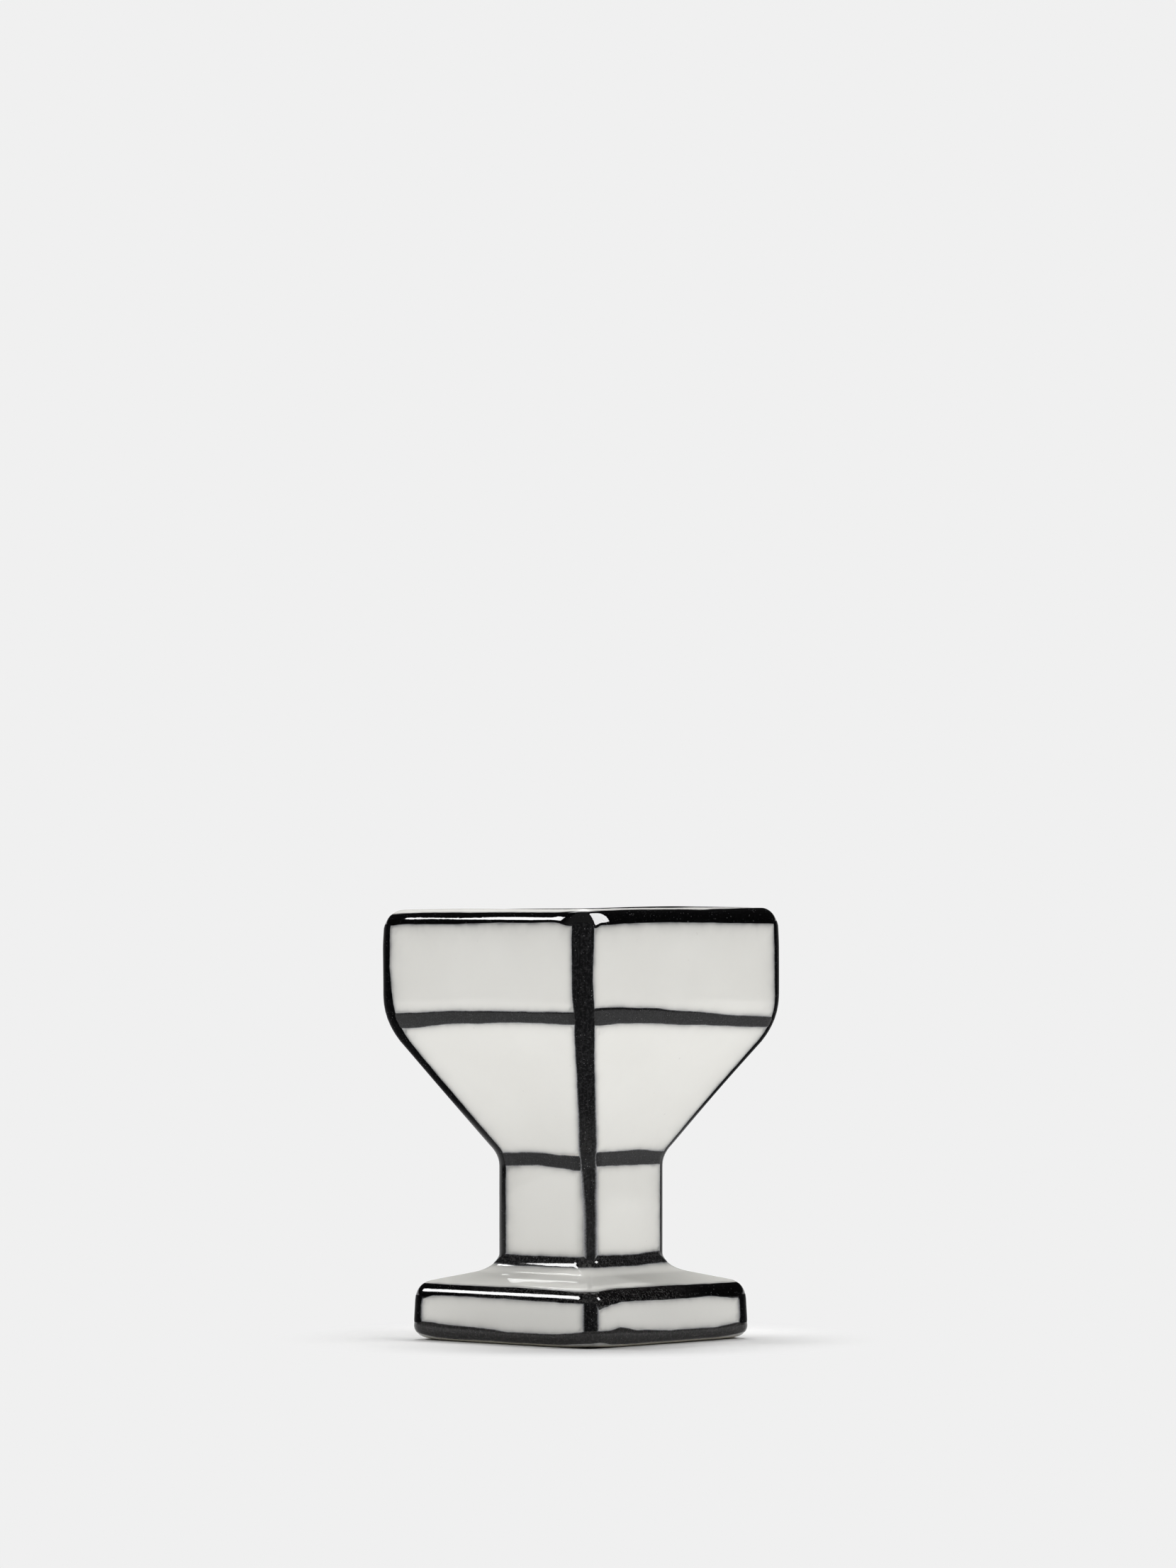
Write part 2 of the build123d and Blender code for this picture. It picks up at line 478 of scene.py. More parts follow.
def ring_turns(line, along, arc_count, flat_count):
    """Quarter turns of places round the cuts, closer together at the corners."""
    half, _, radius, _, _ = line.at(along)
    arc = radius * math.pi / 4
    flat = 2 * (half - radius)
    arc_share = np.linspace(0, 1, arc_count + 1)[None, :]
    flat_share = (0.5 - 0.5 * np.cos(np.linspace(0, math.pi, flat_count + 1)))[None, 1:-1]
    leaving = arc * arc_share
    middle = arc + flat * flat_share
    arriving = arc + flat + arc * arc_share[:, :-1]
    shares = np.concatenate([leaving, middle, arriving], axis=1) / np.maximum(2 * arc + flat, TINY)
    return np.concatenate([shares + corner for corner in range(4)], axis=1)


# The painted lines: where each edge runs on the surface.


def ragged(seed, height, few, many, count=14):
    """A brush's uneven edge: seeded waves of few to many cycles, which close up round the cup."""
    draw = random.Random(seed)
    parts = []
    for index in range(count):
        share = index / (count - 1)
        cycles = round(many**share * few ** (1 - share))
        parts.append((cycles, draw.uniform(0, 2 * math.pi), height / math.sqrt(1 + index)))

    def edge(turns):
        """How far the edge wavers at so many quarter turns."""
        return sum(size * np.sin(math.pi / 2 * cycles * turns + phase) for cycles, phase, size in parts)

    return edge


def round_trip(controls, turns):
    """Smooth values round the cup through a few (quarter turns, value) pairs."""
    at, value = np.array(sorted(controls)).T
    at = np.r_[at[-1] - 4, at, at[0] + 4]
    value = np.r_[value[-1], value, value[0]]
    turns = np.mod(turns, 4)
    index = np.clip(np.searchsorted(at, turns, side="right") - 1, 0, len(at) - 2)
    share = (turns - at[index]) / (at[index + 1] - at[index])
    return value[index] + (value[index + 1] - value[index]) * share * share * (3 - 2 * share)


class Band:
    """A line painted round the cup between two wavering edges, given as lengths along the cup's line."""

    # How far the edges waver, how wide they fray, and how sharply the bleed and the painted shade stop above
    # the line.
    height = 0.035
    soft = 0.35
    crisp = 1.0
    columns = LINE_COLUMNS

    def __init__(self, seed, low, high, low_drift, high_drift):
        self.low, self.high = low, high
        self.low_drift, self.high_drift = low_drift, high_drift
        self.low_rag = ragged(seed, self.height, FEW_CYCLES, BAND_CYCLES)
        self.high_rag = ragged(seed + 1, self.height, FEW_CYCLES, BAND_CYCLES)

    def edges(self, turns):
        """Lengths along the cup's line of the lower and the upper edge."""
        low = self.low + round_trip(self.low_drift, turns) + self.low_rag(turns)
        high = self.high + round_trip(self.high_drift, turns) + self.high_rag(turns)
        return low, high

    def gap(self, along, turns):
        """Distance from the band, below zero on it."""
        low, high = self.edges(turns)
        return np.maximum(low - along, self.crisp * (along - high))


class RimBand(Band):
    """The line over the rim, with crisper edges and a finer mesh."""

    height = 0.03
    soft = 0.22
    crisp = 5.0
    columns = RIM_COLUMNS


class Stroke:
    """A line brushed down a corner of the bowl and the stem: its width, drift and softness at levels."""

    height = 0.03
    low, high = reach(14.0), reach(72.0)

    def __init__(self, seed, corner, widths, drifts, softness=((0, 0.28),)):
        self.corner = corner
        self.widths, self.drifts = np.array(widths).T, np.array(drifts).T
        self.softness = np.array(softness).T
        self.left_rag = ragged(seed, self.height, FEW_CYCLES, STROKE_CYCLES)
        self.right_rag = ragged(seed + 1, self.height, FEW_CYCLES, STROKE_CYCLES)

    def edges(self, along):
        """Runs along the ring from the corner to the left and the right edge."""
        level = cup_line.at(along)[1]
        width = np.interp(level, *self.widths)
        drift = np.interp(level, *self.drifts)
        share = along / STROKE_QUARTER
        return drift - width / 2 + self.left_rag(share), drift + width / 2 + self.right_rag(share)

    def gap(self, along, turns):
        """Distance from the stroke, below zero on it."""
        run = (np.mod(turns - self.corner + 2, 4) - 2) * quarter_length(along)
        left, right = self.edges(along)
        beside = np.maximum(left - run, run - right)
        return np.maximum(beside, np.maximum(self.low - along, along - self.high))


class FootStroke(Stroke):
    """A short stroke down a corner of the foot, wider or narrower at both its ends."""

    low, high = reach(2.2), reach(8.1)
    flares = ((2.4, 1.0), (3.1, 0.4), (4.0, 0.0), (6.4, 0.0), (7.1, 0.4), (7.8, 1.0))

    def __init__(self, seed, corner, width, drift, flare):
        widths = [(level, width + share * flare) for level, share in self.flares]
        super().__init__(seed, corner, widths, drifts=((0, drift),), softness=((0, 0.6),))


# Drifts are pairs of quarter turns from the front corner and millimetres up.
bands = {
    "rim_line": RimBand(
        seed=1, low=reach(71.0), high=RIM_CREST,
        low_drift=(
            (0.0, -0.6), (0.045, -0.5), (0.08, 0.05), (0.28, 0.22), (0.63, 0.24), (0.91, 0.1), (2.0, 0.05),
            (3.1, 0.2), (3.35, 0.05), (3.67, 0.42), (3.86, 0.5), (3.955, -0.1),
        ),
        high_drift=(
            (0.0, -1.35), (0.11, -1.25), (0.28, -1.08), (0.49, -1.08), (0.63, -1.2), (0.75, -0.7), (0.9, 0.1),
            (1.3, 0.5), (1.5, 0.8), (1.9, 0.6), (2.3, 0.8), (2.5, 0.5), (2.7, -0.2), (2.9, -1.4),
            (3.1, -1.94), (3.42, -1.99), (3.68, -1.72), (3.84, -1.7),
        ),
    ),
    "shoulder_line": Band(
        seed=3, low=reach(53.95), high=reach(56.6),
        low_drift=(
            (0.05, 0.15), (0.2, 0.45), (0.55, -0.1), (0.95, -0.6), (1.6, 0.2), (2.4, -0.3),
            (3.08, -0.9), (3.4, 0.2), (3.65, 0.5), (3.95, 0.35),
        ),
        high_drift=(
            (0.05, 0.75), (0.15, 0.85), (0.33, 0.6), (0.47, 0.05), (0.8, -0.85), (0.97, -1.1), (1.5, 0.3),
            (2.5, -0.2), (3.08, -0.55), (3.4, 0.05), (3.7, 0.15), (3.95, 0.1),
        ),
    ),
    "neck_line": Band(
        seed=5, low=reach(29.65), high=reach(32.3),
        low_drift=(
            (0.08, 0.15), (0.8, 0.15), (1.6, -0.2), (2.5, 0.1), (3.1, 0.05), (3.5, 0.1),
            (3.72, -0.3), (3.92, -0.55),
        ),
        high_drift=(
            (0.08, 0.3), (0.55, 0.5), (0.85, 0.2), (1.6, -0.2), (2.4, 0.2), (3.1, -0.1), (3.5, 0.05),
            (3.75, -0.3), (3.93, -0.4),
        ),
    ),
    "stem_base_line": Band(
        seed=7, low=reach(12.7), high=reach(14.7),
        low_drift=(
            (0.1, 0.0), (0.4, 0.0), (0.87, 0.25), (1.5, 0.1), (2.5, -0.1), (3.1, 0.25), (3.35, 0.0),
            (3.95, 0.0),
        ),
        high_drift=(
            (0.1, 0.3), (0.45, 0.2), (0.9, 0.6), (1.5, 0.1), (2.5, -0.2), (3.1, 0.15), (3.5, 0.1), (3.9, 0.1),
        ),
    ),
    "foot_top_line": Band(
        seed=9, low=reach(7.35), high=reach(9.72),
        low_drift=(
            (0.03, -1.2), (0.07, -0.75), (0.12, -0.3), (0.18, 0.1), (0.28, 0.1), (0.73, 0.05), (0.9, -0.55),
            (1.0, -0.8), (1.2, 0.1), (2.3, -0.1), (3.0, -0.9), (3.06, -0.6), (3.13, 0.15), (3.3, 0.3),
            (3.5, 0.15), (3.96, -0.05),
        ),
        high_drift=(
            (0.0, -0.2), (0.17, 0.5), (0.41, 0.35), (0.8, 0.0), (1.5, 0.2), (2.4, -0.1), (3.05, 0.05),
            (3.24, -0.1), (3.6, 0.0),
        ),
    ),
    "foot_base_line": Band(
        seed=11, low=reach(0.3), high=reach(2.75),
        low_drift=(
            (0.0, 0.05), (0.05, 0.4), (0.12, 0.1), (0.8, 0.1), (1.0, 0.7), (1.3, 0.2), (2.7, 0.2), (3.0, 0.7),
            (3.15, 0.1), (3.9, 0.0),
        ),
        high_drift=(
            (0.0, 0.3), (0.04, 0.0), (0.08, 0.1), (0.17, 0.8), (0.28, 0.15), (0.5, -0.25), (0.72, -0.35),
            (0.95, 0.2), (1.6, 0.2), (2.4, -0.2), (3.08, 0.5), (3.25, 0.3), (3.42, 0.0), (3.57, -0.5),
            (3.8, -0.4), (3.95, -0.3),
        ),
    ),
}

# Widths, drifts and softness of the strokes are pairs of level and value.
strokes = {
    "corner_line_front": Stroke(
        seed=21, corner=FRONT,
        widths=((14.4, 2.7), (23.4, 2.75), (29.4, 3.15), (33.4, 3.6), (47.4, 3.7), (56.4, 4.1), (70.4, 4.4)),
        drifts=(
            (14.4, 0.4), (23.4, 0.25), (31.4, 0.03), (40.4, -0.12), (48.4, 0.1), (54.9, 0.33), (60.4, -0.06),
        ),
        softness=((14.4, 0.8), (24.4, 0.8), (34.4, 0.6), (47.4, 0.5), (60.4, 0.4)),
    ),
    "corner_line_right": Stroke(
        seed=23, corner=RIGHT,
        widths=((31.4, 3.4), (48.4, 3.5), (58.4, 4.0), (70.4, 4.5)),
        drifts=((48.4, -0.4), (58.4, -0.35)),
    ),
    "corner_line_back": Stroke(
        seed=25, corner=BACK,
        widths=((14.4, 2.4), (31.4, 2.9), (48.4, 3.2), (58.4, 3.7), (70.4, 4.1)),
        drifts=((14.4, -0.2), (25.4, 0.1), (40.4, 0.15), (52.4, -0.2), (70.4, 0.1)),
    ),
    "corner_line_left": Stroke(
        seed=27, corner=LEFT,
        widths=((14.4, 3.0), (31.4, 3.1), (48.4, 3.6), (54, 4.4), (58, 4.4), (64, 3.9), (70.4, 4.3)),
        drifts=((14.4, 1.1), (31.4, 1.2), (48.4, 1.4), (54, 1.7), (58, 1.5), (64, 1.0), (70.4, 0.85)),
    ),
    "foot_corner_line_front": FootStroke(seed=31, corner=FRONT, width=3.1, drift=-0.03, flare=-0.1),
    "foot_corner_line_right": FootStroke(seed=33, corner=RIGHT, width=4.5, drift=-1.25, flare=1.0),
    "foot_corner_line_back": FootStroke(seed=35, corner=BACK, width=2.6, drift=0.2, flare=0.5),
    "foot_corner_line_left": FootStroke(seed=37, corner=LEFT, width=4.3, drift=0.85, flare=1.0),
}


# Meshes.


def add_mesh(name, places, faces, material, node):
    """A smooth-shaded piece that rides on the cup and stands for its node."""
    mesh = bpy.data.meshes.new(name)
    mesh.from_pydata([tuple(place) for place in places], [], faces)
    mesh.validate()
    mesh.shade_smooth()
    mesh.set_sharp_from_angle(angle=SHARP_ANGLE)
    mesh.materials.append(material)
    piece = bpy.data.objects.new(name, mesh)
    bpy.context.scene.collection.objects.link(piece)
    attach(piece, "root")
    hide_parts(node)
    return piece


def grid_faces(rows, columns, close_rows=False):
    """Quads of a grid of vertices numbered row by row, each row a closed loop."""
    faces = []
    for row in range(rows if close_rows else rows - 1):
        below, above = row * columns, (row + 1) % rows * columns
        for column in range(columns):
            beside = (column + 1) % columns
            faces.append((below + column, below + beside, above + beside, above + column))
    return faces


def store_values(piece, name, values):
    """One number for each vertex, for the material to read."""
    store = piece.data.attributes.new(name, "FLOAT", "POINT")
    store.data.foreach_set("value", np.asarray(values, np.float32).ravel())


def store_gap(piece, name, lines, farthest, along, turns, unseen):
    """Distance from the nearest of some lines, and the farthest one where none is seen."""
    gaps = np.min([line.gap(along, turns) for line in lines], axis=0)
    store_values(piece, name, np.r_[np.clip(gaps, ON_LINE, farthest).ravel(), np.full(unseen, farthest)])


def store_gaps(piece, along, turns, unseen):
    """Distances from all lines, and from those at the rim and the side corners, near which shade is painted
    on the white.
    """
    side_strokes = [strokes[f"corner_line_{corner}"] for corner in ("right", "back", "left")]
    # The rim line and the right, back and left corner lines mark where the painted shade falls.
    edges = [bands["rim_line"], *side_strokes]
    lines = [*bands.values(), *strokes.values()]
    store_gap(piece, "line_gap", lines, FAR_FROM_LINE, along, turns, unseen)
    store_gap(piece, "shade_edge_gap", edges, FAR_FROM_EDGE, along, turns, unseen)


def add_bowl(material):
    """The bowl, up from the upper seam, over the rim and down to the middle of the well's floor."""
    along = cup_line.between(reach(UPPER_SEAM_HIGH), cup_line.length[-1])[:-1, None]
    turns = ring_turns(cup_line, along, ARC_COUNT, FLAT_COUNT)
    places = surface(cup_line, along, turns).reshape(-1, 3)
    faces = grid_faces(len(along), RING_COUNT)
    floor_middle, base_middle = len(places), len(places) + 1
    last = (len(along) - 1) * RING_COUNT
    levels = np.array((FLOOR_LEVEL, UPPER_SEAM_HIGH))
    middles = np.stack(by_hand(np.zeros(2), np.zeros(2), levels), axis=-1) * MM
    for column in range(RING_COUNT):
        beside = (column + 1) % RING_COUNT
        faces.append((last + column, last + beside, floor_middle))
        faces.append((beside, column, base_middle))
    piece = add_mesh("bowl_glazed", np.vstack([places, middles]), faces, material, "bowl")
    store_gaps(piece, along, turns, unseen=len(middles))


def add_tube(name, node, low, high, material):
    """A hollow casting or seam between two levels: outside up, across the wall and down the hollow."""
    outside = cup_line.between(reach(low) if low else 0, reach(high))[:, None]
    levels, lengths = hollow_line.places[::-1, 1], hollow_line.length[::-1]
    top, bottom = np.interp((high, low), levels, lengths)
    inside = hollow_line.between(top, bottom)[:, None]
    if not low:
        inside = inside[:-1]
    turns = ring_turns(cup_line, outside, ARC_COUNT, FLAT_COUNT)
    hollow_turns = ring_turns(hollow_line, inside, ARC_COUNT, FLAT_COUNT)
    places = [surface(cup_line, outside, turns), surface(hollow_line, inside, hollow_turns)]
    faces = grid_faces(len(outside) + len(inside), RING_COUNT, close_rows=True)
    piece = add_mesh(name, np.vstack(places).reshape(-1, 3), faces, material, node)
    store_gaps(piece, outside, turns, unseen=hollow_turns.size)


def cross_section(count, lift):
    """Shares across a line and lifts off the clay, out along its face and back inside the clay."""
    share = np.linspace(0, 1, count + 1)
    bulge = 1 - np.abs(2 * share - 1) ** LINE_FLATNESS
    face = EDGE_SINK + (lift - EDGE_SINK) * bulge
    back = np.linspace(1, 0, count // 2 + 1)[1:-1]
    return np.r_[share, back], np.r_[face, np.full(len(back), LINE_BACK)]


def add_painted(name, along, turns, lift, share, width, soft, length, closed, material):
    """A glaze line made of cross-sections, which knows its own length, width and edges."""
    places = surface(cup_line, along, turns, lift)
    rows, columns, _ = places.shape
    faces = grid_faces(rows, columns, close_rows=closed)
    if not closed:
        faces.append(tuple(range(columns))[::-1])
        faces.append(tuple(range((rows - 1) * columns, rows * columns)))
    piece = add_mesh(name + "_glaze", places.reshape(-1, 3), faces, material, name)
    store_values(piece, "across", share * width)
    store_values(piece, "edge", np.minimum(share, 1 - share) * width / soft)
    store_values(piece, "run", np.repeat(length, columns))


def add_band(name, band, material):
    """A painted band as a closed loop of cross-sections."""
    middle = (band.low + band.high) / 2
    half, _, radius, _, _ = cup_line.at(middle)
    flat_count = int(2 * (half - radius) / BAND_STEP)
    turns = ring_turns(cup_line, [[middle]], ARC_COUNT + 2, flat_count).T
    share, lift = [values[None, ::-1] for values in cross_section(band.columns, BAND_LIFT)]
    low, high = band.edges(turns)
    along = low + (high - low) * share
    length = turns * quarter_length(middle)
    add_painted(name, along, turns, lift, share, high - low, band.soft, length, True, material)


def add_stroke(name, stroke, material):
    """A painted stroke as an open row of cross-sections with closed ends."""
    count = max(STROKE_LEAST, int((stroke.high - stroke.low) / STROKE_STEP))
    length = np.linspace(stroke.low, stroke.high, count)[:, None]
    share, lift = [values[None, :] for values in cross_section(LINE_COLUMNS, STROKE_LIFT)]
    left, right = stroke.edges(length)
    run = left + (right - left) * share
    ends = np.minimum(length - stroke.low, stroke.high - length)
    lift = LINE_BACK + (lift - LINE_BACK) * ease(-STROKE_TAPER, STROKE_TAPER, ends)
    turns = np.mod(stroke.corner + run / quarter_length(length), 4)
    soft = np.interp(cup_line.at(length)[1], *stroke.softness)
    add_painted(name, length, turns, lift, share, right - left, soft, length, False, material)


# Materials. Scales of noise are cells in a metre, and bump distances are metres.


class Tree:
    """A node tree with short calls for adding and linking nodes."""

    def __init__(self, owner):
        owner.use_nodes = True
        self.nodes, self.links = owner.node_tree.nodes, owner.node_tree.links
        self.nodes.clear()

    def feed(self, socket, value):
        """Links a socket to another node's output, or sets it."""
        if isinstance(value, bpy.types.NodeSocket):
            self.links.new(value, socket)
        else:
            socket.default_value = value

    def add(self, kind, inputs=None, **settings):
        """A shader node of a kind, with its settings and inputs."""
        node = self.nodes.new("ShaderNode" + kind)
        for key, value in settings.items():
            setattr(node, key, value)
        for key, value in (inputs or {}).items():
            self.feed(node.inputs[key], value)
        return node

    def math(self, operation, first, second=0.0):
        """One sum, product or other operation."""
        return self.add("Math", {0: first, 1: second}, operation=operation).outputs[0]

    def times(self, first, second):
        """A product."""
        return self.math("MULTIPLY", first, second)

    def ramp(self, value, low, high, to_low=0.0, to_high=1.0):
        """A smooth step from one value to another."""
        inputs = {"Value": value, "From Min": low, "From Max": high, "To Min": to_low, "To Max": to_high}
        return self.add("MapRange", inputs, interpolation_type="SMOOTHSTEP").outputs["Result"]

    def fading(self, distance, length, strength):
        """A strength that fades with distance, by e for each length."""
        share = self.math("EXPONENT", self.math("DIVIDE", distance, -length))
        return self.times(share, strength)

    def noise(self, vector, scale, detail=2.0, roughness=0.5):
        """Noise from 0 to 1."""
        inputs = {"Vector": vector, "Scale": scale, "Detail": detail, "Roughness": roughness}
        return self.add("TexNoise", inputs).outputs["Fac"]

    def mix(self, share, first, second):
        """A colour between two colours. Sockets of this node share names, so numbers pick them."""
        node = self.add("Mix", data_type="RGBA")
        for index, value in ((0, share), (6, first), (7, second)):
            self.feed(node.inputs[index], value)
        return node.outputs[2]

    def bump(self, height, strength, distance):
        """A normal that follows a height."""
        inputs = {"Height": height, "Strength": strength, "Distance": distance}
        return self.add("Bump", inputs).outputs[0]

    def attribute(self, name):
        """A number stored on the mesh."""
        return self.add("Attribute", attribute_name=name).outputs["Fac"]

    def place(self):
        """The place on the piece."""
        return self.add("TexCoord").outputs["Object"]

    def level(self, place):
        """The height of a place."""
        return self.add("SeparateXYZ", {0: place}).outputs["Z"]

    def shade(self, inputs, kind="BsdfPrincipled"):
        """The shader, joined to the material's output."""
        shader = self.add(kind, inputs)
        self.add("OutputMaterial", {"Surface": shader.outputs[0]})


def rgb(red, green, blue):
    """A colour with full alpha."""
    return (red, green, blue, 1.0)


def grey(tone):
    """A grey with full alpha."""
    return rgb(tone, tone, tone)


# How strongly the glaze bends light.
CLEAR_GLAZE_INDEX = 1.5


def white_glaze(name, bare_foot=False):
    """Clear glaze over off-white clay: cloudy, wavy, grey where lines bleed, with painted shade by the rim
    and side corners.
    """
    material = bpy.data.materials.new(name)
    tree = Tree(material)
    place = tree.place()
    cloud = tree.ramp(tree.noise(place, scale=55, detail=3), 0.35, 0.7)
    colour = tree.mix(cloud, rgb(0.885, 0.876, 0.835), rgb(0.91, 0.902, 0.862))
    line_distance = tree.math("MAXIMUM", tree.attribute("line_gap"), 0.0)
    shade_edge_distance = tree.math("MAXIMUM", tree.attribute("shade_edge_gap"), 0.0)
    near = tree.fading(line_distance, length=0.4, strength=0.46)
    # Painted shade: the white darkens within a few millimetres of the rim line and the right, back and left
    # corner lines.
    edge_shade = tree.fading(shade_edge_distance, length=1.7, strength=0.2)
    patchy = tree.ramp(tree.noise(place, scale=350), 0.2, 0.8, 0.75, 1.2)
    bleed_and_shade = tree.times(tree.math("ADD", near, edge_shade), patchy)
    # The dark tone serves both the grey bleed beside the lines and the painted shade.
    colour = tree.mix(bleed_and_shade, colour, rgb(0.03, 0.035, 0.045))
    pinholes = tree.ramp(tree.noise(place, scale=900, detail=1), 0.79, 0.83)
    colour = tree.mix(tree.times(pinholes, 0.35), colour, rgb(0.55, 0.53, 0.48))
    roughness = tree.ramp(tree.noise(place, scale=140), 0.3, 0.7, 0.03, 0.06)
    if bare_foot:
        bare = bare_clay(tree, place)
        grain = tree.noise(place, scale=2500, detail=3)
        clay = tree.mix(grain, rgb(0.66, 0.61, 0.50), rgb(0.76, 0.72, 0.62))
        colour = tree.mix(bare, colour, clay)
        roughness = tree.ramp(bare, 0.0, 1.0, 0.05, 0.75)
    normal = tree.bump(tree.noise(place, scale=75), strength=0.35, distance=0.0004)
    inputs = {"Base Color": colour, "Roughness": roughness, "Normal": normal, "IOR": CLEAR_GLAZE_INDEX}
    tree.shade(inputs)
    return material


def bare_clay(tree, place):
    """1 on the foot ring, which is wiped free of glaze, up to a wavering edge."""
    edge = tree.times(tree.noise(place, scale=500), 0.0004)
    return tree.ramp(tree.math("SUBTRACT", tree.level(place), edge), 0.0001, 0.0004, 1, 0)


# Strokes mirror the room fully on the stem, and that fades over so many millimetres up the bowl.
FULL_MIRROR = 0.5
MIRROR_FADE = 10.0

# The way to the front corner, and the metres over which a line turns from black to its painted sheen.
FRONT_AHEAD = (math.sqrt(0.5), -math.sqrt(0.5), 0.0)
SHEEN_FADE = 0.008


def stem_mirror(tree, place, dim):
    """How strongly a stroke mirrors the room: fully on the stem, dimly on bowl and foot."""
    level = tree.level(place)
    above_foot = tree.ramp(level, FOOT_SIDE * MM, INSTEP * MM, dim, FULL_MIRROR)
    below_bowl = tree.ramp(level, NECK * MM, (NECK + MIRROR_FADE) * MM, FULL_MIRROR, dim)
    return tree.math("MINIMUM", above_foot, below_bowl)


def front_share(tree, place, sheen_from):
    """0 at the side corners, and 1 towards the front corner, where a line gets its painted sheen."""
    ahead = tree.add("VectorMath", {0: place, 1: FRONT_AHEAD}, operation="DOT_PRODUCT")
    return tree.ramp(ahead.outputs["Value"], sheen_from, sheen_from + SHEEN_FADE)


def glaze_specks(tree, place, share):
    """Pale specks in the glaze, thicker in some patches than in others."""
    grains = tree.add("TexVoronoi", {"Vector": place, "Scale": 2600.0})
    draw = tree.add("SeparateColor", {0: grains.outputs["Color"]}).outputs[0]
    chosen = tree.math("GREATER_THAN", draw, 0.5)
    dots = tree.times(tree.ramp(grains.outputs["Distance"], 0.08, 0.24, 1, 0), chosen)
    patches = tree.ramp(tree.noise(place, scale=260), 0.4, 0.7, 0.15, 1.0)
    return tree.times(tree.times(dots, patches), share)


def brush_streaks(tree):
    """Streaks along a line, ten times as long as wide, in its own millimetres."""
    run = tree.times(tree.attribute("run"), 0.1)
    streak_place = tree.add("CombineXYZ", {"X": run, "Y": tree.attribute("across")}).outputs[0]
    return tree.ramp(tree.noise(streak_place, scale=3.2, detail=3, roughness=0.6), 0.5, 0.78)


def black_glaze(
    name, deep, streak_tone, gloss, dull, specks, index=CLEAR_GLAZE_INDEX, dim_mirror=None, sheen_from=None
):
    """Brushed black glaze, with streaks along the stroke, pale specks and a frayed edge."""
    material = bpy.data.materials.new(name)
    tree = Tree(material)
    place = tree.place()
    streak = brush_streaks(tree)
    grain = tree.ramp(tree.noise(place, scale=2400, roughness=0.6), 0.42, 0.72, 0.0, 0.8)
    wear = tree.math("MAXIMUM", streak, grain)
    # Painted sheen: where asked, the lighter streaks show only towards the front corner.
    if sheen_from is not None:
        wear = tree.times(wear, front_share(tree, place, sheen_from))
    # The streak tone gives the brush streaks; in some blacks it is lightened into a painted sheen.
    colour = tree.mix(wear, rgb(*deep), rgb(*streak_tone))
    colour = tree.mix(glaze_specks(tree, place, specks), colour, rgb(0.45, 0.45, 0.46))
    fray = tree.times(tree.noise(place, scale=3400, detail=3, roughness=0.7), 0.5)
    thin = tree.ramp(tree.math("ADD", tree.attribute("edge"), fray), 0.2, 1.2, 1, 0)
    colour = tree.mix(thin, colour, rgb(0.46, 0.465, 0.48))
    roughness = tree.ramp(streak, 0.0, 1.0, gloss, dull)
    normal = tree.bump(tree.noise(place, scale=700), strength=0.1, distance=0.0001)
    inputs = {"Base Color": colour, "Roughness": roughness, "Normal": normal, "IOR": index}
    if dim_mirror is not None:
        inputs["Specular IOR Level"] = stem_mirror(tree, place, dim_mirror)
    tree.shade(inputs)
    return material


def fired_slip():
    """Unglazed slip in the seams: matt, slightly warm and grainy."""
    material = bpy.data.materials.new("fired_slip_matt")
    tree = Tree(material)
    grain = tree.noise(tree.place(), scale=2000, detail=3)
    colour = tree.mix(grain, rgb(0.66, 0.63, 0.56), rgb(0.76, 0.73, 0.66))
    normal = tree.bump(grain, strength=0.3, distance=0.0001)
    tree.shade({"Base Color": colour, "Roughness": 0.7, "Normal": normal})
    return material


glaze = white_glaze("white_clear_glaze")
foot_glaze = white_glaze("white_clear_glaze_bare_foot", bare_foot=True)
slip = fired_slip()
glossy_black = black_glaze(
    "black_glossy",
    deep=(0.0006, 0.0006, 0.0007),
    streak_tone=(0.003, 0.003, 0.0034),
    gloss=0.03, dull=0.07, specks=0.45,
)
grainy_black = black_glaze(
    "black_grainy",
    deep=(0.01, 0.01, 0.0105),
    streak_tone=(0.055, 0.054, 0.054),
    gloss=0.06, dull=0.12, specks=0.5,
)
# The foot's top line: black whose lighter streaks show only towards the front corner, as a painted sheen.
front_sheen_black = black_glaze(
    "black_front_painted_sheen",
    deep=(0.0012, 0.0012, 0.0014),
    streak_tone=(0.06, 0.058, 0.057),
    gloss=0.06, dull=0.12, specks=0.35,
    sheen_from=0.008,
)
deep_black = black_glaze(
    "black_deep",
    deep=(0.002, 0.002, 0.0023),
    streak_tone=(0.008, 0.008, 0.009),
    gloss=0.14, dull=0.28, specks=0.3, index=1.3,
    dim_mirror=0.02,
)
# The front strokes' black: brush streaks, with base and streak tones lightened as a painted sheen.
sheen_brushed_black = black_glaze(
    "black_brushed_painted_sheen",
    deep=(0.007, 0.007, 0.0076),
    streak_tone=(0.03, 0.03, 0.031),
    gloss=0.14, dull=0.28, specks=0.5, index=1.3,
    dim_mirror=0.03,
)
charcoal = black_glaze(
    "charcoal_brushed",
    deep=(0.008, 0.008, 0.0085),
    streak_tone=(0.025, 0.025, 0.026),
    gloss=0.12, dull=0.22, specks=0.25, index=1.36,
)
# The foot's base line: charcoal glaze with brush streaks, made paler as a painted reflection of the floor.
floor_sheen_charcoal = black_glaze(
    "charcoal_painted_floor_reflection",
    deep=(0.026, 0.025, 0.025),
    streak_tone=(0.06, 0.058, 0.057),
    gloss=0.15, dull=0.3, specks=0.3, index=1.36,
)


# The pieces.

